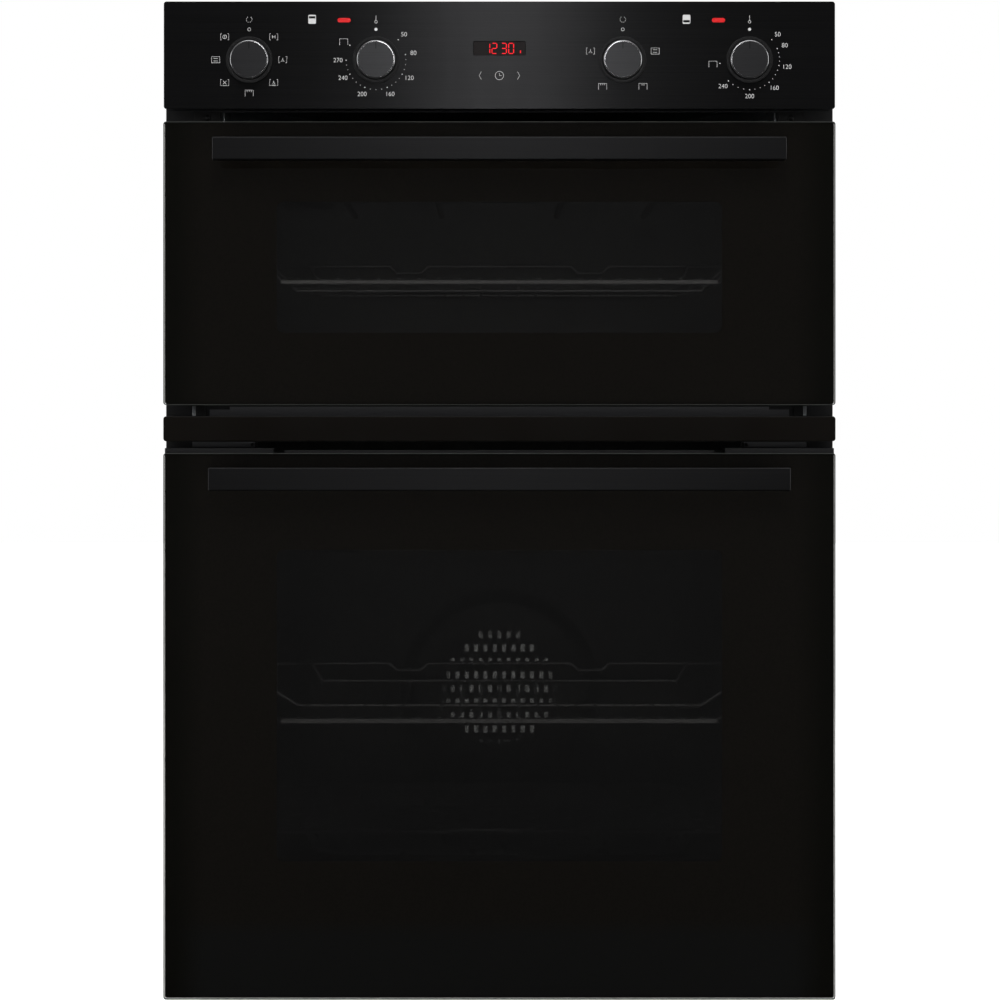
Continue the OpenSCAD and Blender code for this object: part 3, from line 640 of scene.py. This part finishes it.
def makeBrackets():
    low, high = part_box("gap_brackets")
    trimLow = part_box("middle_trim")[0].z
    trimHigh = trimLow + trim["height"]
    upperLow, upperHigh = (v.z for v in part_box("upper_door_glass"))
    frameY, panelLow = high.y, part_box("control_fascia")[0].z
    # finish, reach from the middle, thickness in millimetres, and heights of each bracket
    parts = [
        (0, (0.249, 0.272), 1.5, (upperHigh + mm, panelLow - mm)),
        (1, (0.2705, 0.2735), 1.6, (trimHigh + 0.5 * mm, upperLow - 0.5 * mm)),
        (0, (0.262, 0.2705), 1.2, (trimHigh + 0.5 * mm, upperLow - 0.5 * mm)),
        (2, (0.218, 0.2735), 1.5, (trimLow - 5.4 * mm, trimLow - 0.5 * mm)),
    ]
    bm = bmesh.new()
    for side in (-1, 1):
        for index, (near, far), thick, (bottom, top) in parts:
            inner, outer = sorted((side * near, side * far))
            made = box(bm, (inner, frameY - thick * mm, bottom), (outer, frameY, top), 0.25 * mm, 1)
            for face in {f for v in made for f in v.link_faces}:
                face.material_index = index
    for v in bm.verts:
        v.tag = True
    for side in (-1, 1):
        for x, z, r, depth in ((0.26, upperHigh + 5.5 * mm, 3, 3), (0.22, trimLow - 3 * mm, 1.6, 2.8)):
            front, r = frameY - depth * mm, r * mm
            dome = [(0, front), (0.6 * r, front + 0.1 * r), (0.95 * r, front + 0.5 * r), (r, frameY)]
            turned(bm, dome, (side * x, 0, z), 20)
    newPiece("gapBrackets", bm, [bracketPaint, zinc, flangeGrey], "oven", ["gap_brackets"])


makeTrim()
makeBrackets()

# ---- control panel

panel = {
    "knobX": (-0.221, -0.109, 0.109, 0.221),
    "knobHole": 19.5 * mm,
    "rim": 0.35 * mm,
    "lensSize": (11.6 * mm, 3.9 * mm),
    "lensGap": 0.1 * mm,
    "lensX": (-0.1372, 0.1936),
    "displaySize": (46 * mm, 12.2 * mm),
}
knobZ = sum(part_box("knob_1")[i].z for i in (0, 1)) / 2
displayZ, lensZ = knobZ + 10 * mm, knobZ + 35 * mm


def makeFascia():
    low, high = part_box("control_fascia")
    size = high - low
    outlines = [ringOutline(size.x, size.z, 2.5 * mm, (0, (low.z + high.z) / 2))]
    outlines += [circleOutline(panel["knobHole"], (x, knobZ)) for x in panel["knobX"]]
    lensW, lensH = (side + 2 * panel["lensGap"] for side in panel["lensSize"])
    outlines += [ringOutline(lensW, lensH, 1.9 * mm, (x, lensZ)) for x in panel["lensX"]]
    outlines += [ringOutline(*panel["displaySize"], 1.5 * mm, (0, displayZ))]
    bm = bmesh.new()
    takeMesh(bm, cutSheet(outlines, (low.y, high.y), panel["rim"]))
    newPiece("controlFascia", bm, fasciaSteel, "oven", ["control_fascia"])


def makeLenses():
    low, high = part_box("indicator_lenses")
    halfW, halfH = (side / 2 for side in panel["lensSize"])
    bm = bmesh.new()
    for x in panel["lensX"]:
        start, end = (x - halfW, low.y, lensZ - halfH), (x + halfW, high.y, lensZ + halfH)
        plate(bm, start, end, 1.9 * mm, 0.3 * mm)
    newPiece("indicatorLenses", bm, redGlow, "oven", ["indicator_lenses"])


knobShape = {
    "edge": 1.2 * mm,
    "bore": 3.1 * mm,
    "capThickness": 2.6 * mm,
    "markFrom": 9.5 * mm,
    "markTo": 15.4 * mm,
    "markWidth": 0.6 * mm,
}
bezel = {"inner": 17.5 * mm, "barrel": 19 * mm, "lip": 20.6 * mm, "flange": 0.8 * mm}


def makeKnobs():
    low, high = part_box("knob_bezels")
    inner, barrel, lip = bezel["inner"], bezel["barrel"], bezel["lip"]
    back = low.y + bezel["flange"]
    bm = bmesh.new()
    for x in panel["knobX"]:
        # flat flange with a soft outer edge, and the barrel that the knob slides in
        profile = [
            (inner, high.y), (inner, low.y + 0.3 * mm), (inner + 0.3 * mm, low.y), (lip - 0.5 * mm, low.y),
            (lip - 0.1 * mm, low.y + 0.2 * mm), (lip, back), (barrel, back), (barrel, high.y),
            (inner, high.y),
        ]
        turned(bm, profile, (x, 0, knobZ))
    newPiece("knobBezels", bm, bezelPaint, "oven", ["knob_bezels"])
    for n, x in enumerate(panel["knobX"], 1):
        low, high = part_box(f"knob_{n}")
        r, edge = (high.x - low.x) / 2, knobShape["edge"]
        rim = [
            (r - edge + edge * math.sin(math.radians(a)), low.y + edge - edge * math.cos(math.radians(a)))
            for a in range(0, 91, 15)
        ]
        bm = bmesh.new()
        bore, capBack = knobShape["bore"], low.y + knobShape["capThickness"]
        profile = [(0, low.y), (r - edge - 0.4 * mm, low.y)] + rim
        profile += [(r, high.y), (bore, high.y), (bore, capBack), (0, capBack)]
        turned(bm, profile, (x, 0, knobZ))
        for face in bm.faces:
            reach = face.calc_center_median() - Vector((x, 0, knobZ))
            face.material_index = int(math.hypot(reach.x, reach.z) > r - edge - 0.3 * mm)
        newPiece(f"knob{n}", bm, [knobMetal, rimMetal], f"knob_{n}", [f"knob_{n}"])
        bm = bmesh.new()
        half = knobShape["markWidth"] / 2
        box(
            bm, (x - half, low.y - 0.05 * mm, knobZ + knobShape["markFrom"]),
            (x + half, low.y + 0.2 * mm, knobZ + knobShape["markTo"]),
        )
        newPiece(f"knobMark{n}", bm, markDark, f"knob_{n}")


makeFascia()
makeLenses()
makeKnobs()
print("control panel made")

# ---- printed symbols, drawn in millimetres about each symbol's middle

ink = {
    "line": 0.34 * mm,
    "film": 0.06 * mm,
    "iconHalf": (3.6, 2.7),
    "digitHeight": 5.6 * mm,
    "y": doorFront - 0.02 * mm,
    "iconReach": 29.6,
    "scaleReach": 26.4,
    "numberReach": 32.4,
    "zeroReach": 26.8,
    "topReach": 35.6,
}
dials = {
    2: {50: 48, 80: 80, 120: 119, 160: 158, 200: 202, 240: 241, 270: 269},
    4: {50: 48, 80: 68, 120: 101, 160: 139, 200: 180, 240: 225},
}
grillAngle = {2: 299, 4: 263}
programs = {
    1: {47: "light", 90: "fan", 133: "fanBase", 180: "grill", 227: "turboFan", 270: "both", 313: "ring"},
    3: {75: "both", 143: "smallGrill", 217: "grill", 285: "fan"},
}


def arc(r, start, end, steps=12, centre=(0, 0)):
    # clockwise from the top
    return [
        (
            centre[0] + r * math.sin(math.radians(start + (end - start) * i / steps)),
            centre[1] + r * math.cos(math.radians(start + (end - start) * i / steps)),
        )
        for i in range(steps + 1)
    ]


def icon(kind):
    w, h = ink["iconHalf"]
    sides = [[(-w + 1, h), (-w, h), (-w, -h), (-w + 1, -h)], [(w - 1, h), (w, h), (w, -h), (w - 1, -h)]]
    roof = [[(-w, -h), (-w, h), (w, h), (w, -h)]]
    teeth = [[(x, h), (x, h - 1.5)] for x in (-1.8, 0, 1.8)]
    blades = [[(0, 0.2), (-1.5, -1.6), (1.5, -1.6), (0, 0.2)], [(0, 0.2), (0, 1.7)]]
    shapes = {
        "fan": sides + blades,
        "fanBase": sides + blades + [[(-2, -h), (2, -h)]],
        "turboFan": sides + [[(-1.6, 1.6), (1.6, -1.6)], [(-1.6, -1.6), (1.6, 1.6)], [(-2, -h), (2, -h)]],
        "ring": sides + [arc(1.7, 0, 360), [(0, 1.6), (0, -1.6)]],
        "both": roof + [[(-w, -h), (w, -h)], [(-1.9, 1.1), (1.9, 1.1)], [(-1.9, -1.1), (1.9, -1.1)]],
        "light": sides + [[(-1.2, 1.4), (-1.2, -1.4)], [(1.2, 1.4), (1.2, -1.4)], [(-1.2, 0), (1.2, 0)]],
        "grill": roof + teeth,
        "smallGrill": roof + [[(-1.6, h - 1.3), (1.6, h - 1.3)]],
        "thermometer": [[(0, 3.4), (0, -0.9)], arc(1.2, 0, 360, centre=(0, -2.1))],
        "turn": [arc(2.5, a, a + 20, 3) for a in range(30, 330, 40)],
        "less": [[(1, 3.4), (-0.9, 0), (1, -3.4)]],
        "more": [[(-1, 3.4), (0.9, 0), (-1, -3.4)]],
        "clock": [arc(3.7, 0, 360, 28), [(0, 2.2), (0, 0), (1.9, 0)]],
    }
    return shapes[kind]


def placed(lines, x, z):
    return [[(x + px * mm, z + pz * mm) for px, pz in line] for line in lines]


def polar(n, angle, radius):
    a = math.radians(angle)
    return panel["knobX"][n - 1] + radius * mm * math.sin(a), knobZ + radius * mm * math.cos(a)


def dot(bm, centre, radius):
    half = ink["film"] / 2
    turned(bm, [(0, -half), (radius, -half), (radius, half)], (centre[0], ink["y"], centre[1]), 16)


def makePrint():
    bm = bmesh.new()
    lines = []
    for n, marks in programs.items():
        for angle, kind in marks.items():
            lines += placed(icon(kind), *polar(n, angle, ink["iconReach"]))
        lines += placed(icon("turn"), *polar(n, 0, ink["topReach"]))
        lines += placed([arc(1.35, 0, 360)], *polar(n, 0, ink["zeroReach"]))
    dots = []
    for n, marks in dials.items():
        lines += placed(icon("thermometer"), *polar(n, 0, ink["topReach"]))
        lines += placed(icon("grill")[:1], *polar(n, grillAngle[n], 32.6))
        dots.append((polar(n, 0, ink["zeroReach"]), 1.35 * mm))
        dots.append((polar(n, grillAngle[n], ink["scaleReach"]), 0.5 * mm))
        steps = sorted(marks)
        for low, high in zip(steps, steps[1:]):
            for t in range(low, high, 10):
                if t > 80 or t == low:
                    angle = marks[low] + (marks[high] - marks[low]) * (t - low) / (high - low)
                    dots.append((polar(n, angle, ink["scaleReach"]), (0.5 if t == low else 0.33) * mm))
        dots.append((polar(n, marks[steps[-1]], ink["scaleReach"]), 0.5 * mm))
        for t, angle in marks.items():
            # wide numbers beside the knob stand a little further out than those above and below it
            reach = ink["numberReach"] + 1.2 * abs(math.sin(math.radians(angle)))
            takeMesh(bm, lettering(str(t), ink["digitHeight"], polar(n, angle, reach), ink["y"]))
    for kind, x in (("less", -17), ("clock", 0), ("more", 17)):
        lines += placed(icon(kind), x * mm, knobZ - 14 * mm)
    takeMesh(bm, strokes(lines, ink["line"], ink["y"]))
    for v in bm.verts:
        v.tag = True
    for centre, radius in dots:
        dot(bm, centre, radius)
    # which oven a pair of knobs runs: a small cooker with that half filled
    for x, filled in ((-0.1654, -1), (0.1653, 1)):
        z = knobZ + 35.7 * mm
        takeMesh(bm, strokes(placed([ringOutline(6.2, 7.4, 0.8)], x, z), 0.6 * mm, ink["y"], True))
        solid = ringOutline(5.6 * mm, 4.2 * mm, 0.5 * mm, (x, z + filled * 1.4 * mm))
        takeMesh(bm, cutSheet([solid], (ink["y"] - ink["film"] / 2, ink["y"] + ink["film"] / 2)))
        takeMesh(bm, strokes(placed([[(-2.8, 0), (2.8, 0)]], x, z - filled * 3.2 * mm), 0.9 * mm, ink["y"]))
    newPiece("panelPrint", bm, whiteInk, "oven")


# which of a digit's seven bars light: top, upper left and right, middle, lower left and right, bottom
clock = {
    "digits": {"1": "0010010", "2": "1011101", "3": "1011011", "0": "1110111"},
    "width": 4.3,
    "height": 9.0,
    "bar": 0.7 * mm,
    "places": {-10.6: "1", -4.4: "2", 4.0: "3", 10.4: "0"},
}


def makeClock():
    w, h, gap = clock["width"] / 2, clock["height"] / 2, 0.5
    bars = [
        [(-w + gap, h), (w - gap, h)], [(-w, h - gap), (-w, gap)], [(w, h - gap), (w, gap)],
        [(-w + gap, 0), (w - gap, 0)], [(-w, -gap), (-w, -h + gap)], [(w, -gap), (w, -h + gap)],
        [(-w + gap, -h), (w - gap, -h)],
    ]
    lines = []
    for x, digit in clock["places"].items():
        lit = [bar for bar, on in zip(bars, clock["digits"][digit]) if on == "1"]
        lines += placed(lit, x * mm, displayZ)
    lines += placed([[(0, 1.2), (0, -1.2)]], 18.6 * mm, displayZ - 3 * mm)
    bm = bmesh.new()
    takeMesh(bm, strokes(lines, clock["bar"], doorFront + 0.05 * mm))
    newPiece("clockDigits", bm, digitGlow, "oven")


makePrint()
makeClock()
print("symbols and clock made")

# ---- baking tray

tray = {"width": 366 * mm, "wall": 1.1 * mm, "rimDrop": 1.2 * mm}


def makeTray():
    low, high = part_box("baking_tray")
    middle = (low + high) / 2
    w, d = high.x - low.x, high.y - low.y
    rings = [
        (w, d, 16 * mm, high.z - tray["rimDrop"]),
        (w, d, 16 * mm, high.z),
        (tray["width"] - 2 * mm, d - 20 * mm, 26 * mm, high.z),
        (tray["width"] - 4 * mm, d - 22 * mm, 25 * mm, high.z - 1.5 * mm),
        (tray["width"] - 24 * mm, d - 36 * mm, 22 * mm, low.z + 6 * mm),
        (tray["width"] - 34 * mm, d - 40 * mm, 21 * mm, low.z + 3.6 * mm),
        (tray["width"] - 48 * mm, d - 48 * mm, 20 * mm, low.z + 2.4 * mm),
    ]
    bm = bmesh.new()
    loops = []
    for rw, rd, r, z in rings:
        verts = [bm.verts.new((x + middle.x, y + middle.y, z)) for x, y in ringOutline(rw, rd, r)]
        loops.append([bm.edges.new((a, b)) for a, b in zip(verts, verts[1:] + verts[:1])])
    for a, b in zip(loops, loops[1:]):
        bmesh.ops.bridge_loops(bm, edges=a + b)
    bmesh.ops.edgeloop_fill(bm, edges=loops[-1])
    bmesh.ops.recalc_face_normals(bm, faces=bm.faces[:])
    if sum(f.normal.z * f.calc_area() for f in bm.faces) < 0:
        bmesh.ops.reverse_faces(bm, faces=bm.faces[:])
    bmesh.ops.solidify(bm, geom=bm.faces[:], thickness=-tray["wall"])
    newPiece("bakingTray", bm, trayEnamel, "oven", ["baking_tray"])


makeTray()
print("tray made")

# ---- finishes of the pieces that keep their CAD shape

finishes = {
    zinc: ["base_plate", "side_panels", "rear_panel", "top_cover", "air_duct", "blower_housing"],
    framePaint: ["front_frame"],
    enamel: ["upper_cavity", "lower_cavity", "fan_baffle"],
    woolPaintedShade: ["insulation"],
    sealRubber: ["door_seals"],
    sheathSteel: ["ring_element", "grill_elements", "base_elements"],
    ceramicWhite: ["lamp_sockets"],
    lampGlass: ["lamp_lenses"],
    spindleSteel: ["temperature_probes", "chassis_screws"] + [f"spindle_{n}" for n in range(1, 5)],
    motorSteel: ["fan_motor", "blower_motor"],
    blackPlastic: ["terminal_box", "fascia_carrier"],
    hingeSteel: ["hinge_arms", "upper_door_hinges", "lower_door_hinges"],
    chrome: ["side_ladders", "upper_rack", "lower_rack"],
    innerPane: ["upper_inner_glass", "lower_inner_glass", "lower_middle_glass"],
    creamNylon: ["rotary_switches"],
    displayFilter: ["display_module"],
    fanAluminium: ["convection_fan", "blower_rotor"],
    profilePaint: ["upper_door_columns", "lower_door_columns", "upper_door_rails", "lower_door_rails"],
}
for material, names in finishes.items():
    for name in names:
        nodes[name].data.materials.clear()
        nodes[name].data.materials.append(material)
print("finishes set")

# ---- studio

studio = {
    "floorDrop": 0.05,
    "background": 1.0,
    "frontDark": 0.05,
    "around": 0.32,
    "overhead": 0.45,
    "below": 0.25,
    "sun": 0.9,
    "floorGlow": 0.6,
    "stripPower": 4.8,
    "glintPower": 0.2,
    "sidePower": 8,
    "backPower": 20,
    "backSidePower": 24,
    "lowerCavityPower": 2.6,
    "upperCavityPower": 1.1,
    "lowerCavityGlint": 0.1,
    "upperCavityGlint": 0.05,
    "fanGlow": 0.03,
}


def makeStage():
    paper, tree, shader = newMaterial("palePaper", "#f6f6f5", 0.8)
    fibre = addNode(
        tree, "ShaderNodeTexNoise", values={"Scale": perMm(30)}, links={"Vector": objectSpace(tree)}
    ).outputs["Fac"]
    tree.links.new(spread(tree, fibre, 0.75, 0.85), shader.inputs["Roughness"])
    shader.inputs["Emission Color"].default_value = linear("#ffffff")
    shader.inputs["Emission Strength"].default_value = studio["floorGlow"]
    bm = bmesh.new()
    made = bmesh.ops.create_grid(bm, x_segments=1, y_segments=1, size=1)["verts"]
    bmesh.ops.scale(bm, vec=(12, 12, 1), verts=made)
    bmesh.ops.translate(bm, vec=(0, 0, -studio["floorDrop"]), verts=made)
    box(bm, (-0.27, -0.225, -studio["floorDrop"]), (0.27, 0.28, -0.0004), 0.002)
    mesh = bpy.data.meshes.new("floor")
    bm.to_mesh(mesh)
    bm.free()
    mesh.materials.append(paper)
    floor = bpy.data.objects.new("floor", mesh)
    floor.visible_glossy = False
    bpy.context.collection.objects.link(floor)


def areaLight(name, place, target, size, power):
    data = bpy.data.lights.new(name, "AREA")
    data.shape = "RECTANGLE"
    data.size, data.size_y = size
    data.energy = power
    lamp = bpy.data.objects.new(name, data)
    lamp.location = place
    lamp.rotation_euler = (Vector(target) - Vector(place)).to_track_quat("-Z", "Y").to_euler()
    lamp.visible_camera = False
    bpy.context.collection.objects.link(lamp)
    return lamp


def makeWorld():
    world = bpy.data.worlds.new("studio")
    bpy.context.scene.world = world
    world.use_nodes = True
    tree = world.node_tree
    tree.nodes.clear()
    way = addNode(tree, "ShaderNodeTexCoord")
    split = addNode(tree, "ShaderNodeSeparateXYZ", links={"Vector": way.outputs["Generated"]})
    # dark in front of the oven, brighter to the sides and behind, brightest overhead
    level = spread(tree, split.outputs["Y"], studio["frontDark"], studio["around"], -0.9, -0.3)
    up = spread(tree, split.outputs["Z"], 0.0, studio["overhead"], 0.6, 0.95)
    total = addNode(tree, "ShaderNodeMath", props={"operation": "ADD"}, links={0: level, 1: up})
    down = spread(tree, split.outputs["Z"], studio["below"], 1.0, -0.25, -0.05)
    strength = addNode(
        tree, "ShaderNodeMath", props={"operation": "MULTIPLY"}, links={0: total.outputs["Value"], 1: down}
    )
    white = (1, 1, 1, 1)
    soft = addNode(
        tree,
        "ShaderNodeBackground",
        values={"Color": white},
        links={"Strength": strength.outputs["Value"]},
    )
    seen = addNode(
        tree, "ShaderNodeBackground", values={"Color": white, "Strength": studio["background"]}
    )
    path = addNode(tree, "ShaderNodeLightPath")
    mix = addNode(
        tree,
        "ShaderNodeMixShader",
        links={
            0: path.outputs["Is Camera Ray"],
            1: soft.outputs["Background"],
            2: seen.outputs["Background"],
        },
    )
    addNode(tree, "ShaderNodeOutputWorld", links={"Surface": mix.outputs["Shader"]})


def makeLights():
    middle = (0, 0, 0.45)
    areaLight("stripLight", (0, -2.5, 1.7), (0, -0.26, 0.7), (0.14, 1.1), studio["stripPower"])
    areaLight("glintLight", (0, -0.8, 1.17), (0, -0.26, 0.84), (0.2, 0.16), studio["glintPower"])
    areaLight("leftLight", (-2.2, -1.5, 1.2), middle, (0.8, 1.4), studio["sidePower"])
    areaLight("rightLight", (2.2, -1.5, 1.2), middle, (0.8, 1.4), studio["sidePower"])
    areaLight("backLight", (0.3, 2.6, 1.6), middle, (3.0, 2.0), studio["backPower"])
    for side in (-1, 1):
        name = "backRightLight" if side > 0 else "backLeftLight"
        areaLight(name, (side * 2.4, 1.1, 1.2), middle, (2.2, 2.2), studio["backSidePower"])
    sun = bpy.data.lights.new("overheadLight", "SUN")
    sun.energy, sun.angle = studio["sun"], math.radians(50)
    bpy.context.collection.objects.link(bpy.data.objects.new("overheadLight", sun))
    # a soft fill in each oven from just inside its door, and a fainter one that its wires mirror
    windows = door["windows"]
    for name, (bottom, top) in (("lowerCavity", windows["lower"]), ("upperCavity", windows["upper"])):
        z = (bottom + top) / 2
        size = (0.42, top - bottom)
        fill = areaLight(f"{name}Fill", (0, -0.243, z), (0, 0.2, z), size, studio[f"{name}Power"])
        fill.visible_glossy = False
        areaLight(f"{name}Glint", (0, -0.24, z), (0, 0.2, z), size, studio[f"{name}Glint"])
    areaLight("fanGlow", (0, 0.168, 0.24), (0, 0.3, 0.24), (0.11, 0.11), studio["fanGlow"])


makeStage()
makeWorld()
makeLights()
print("studio made")
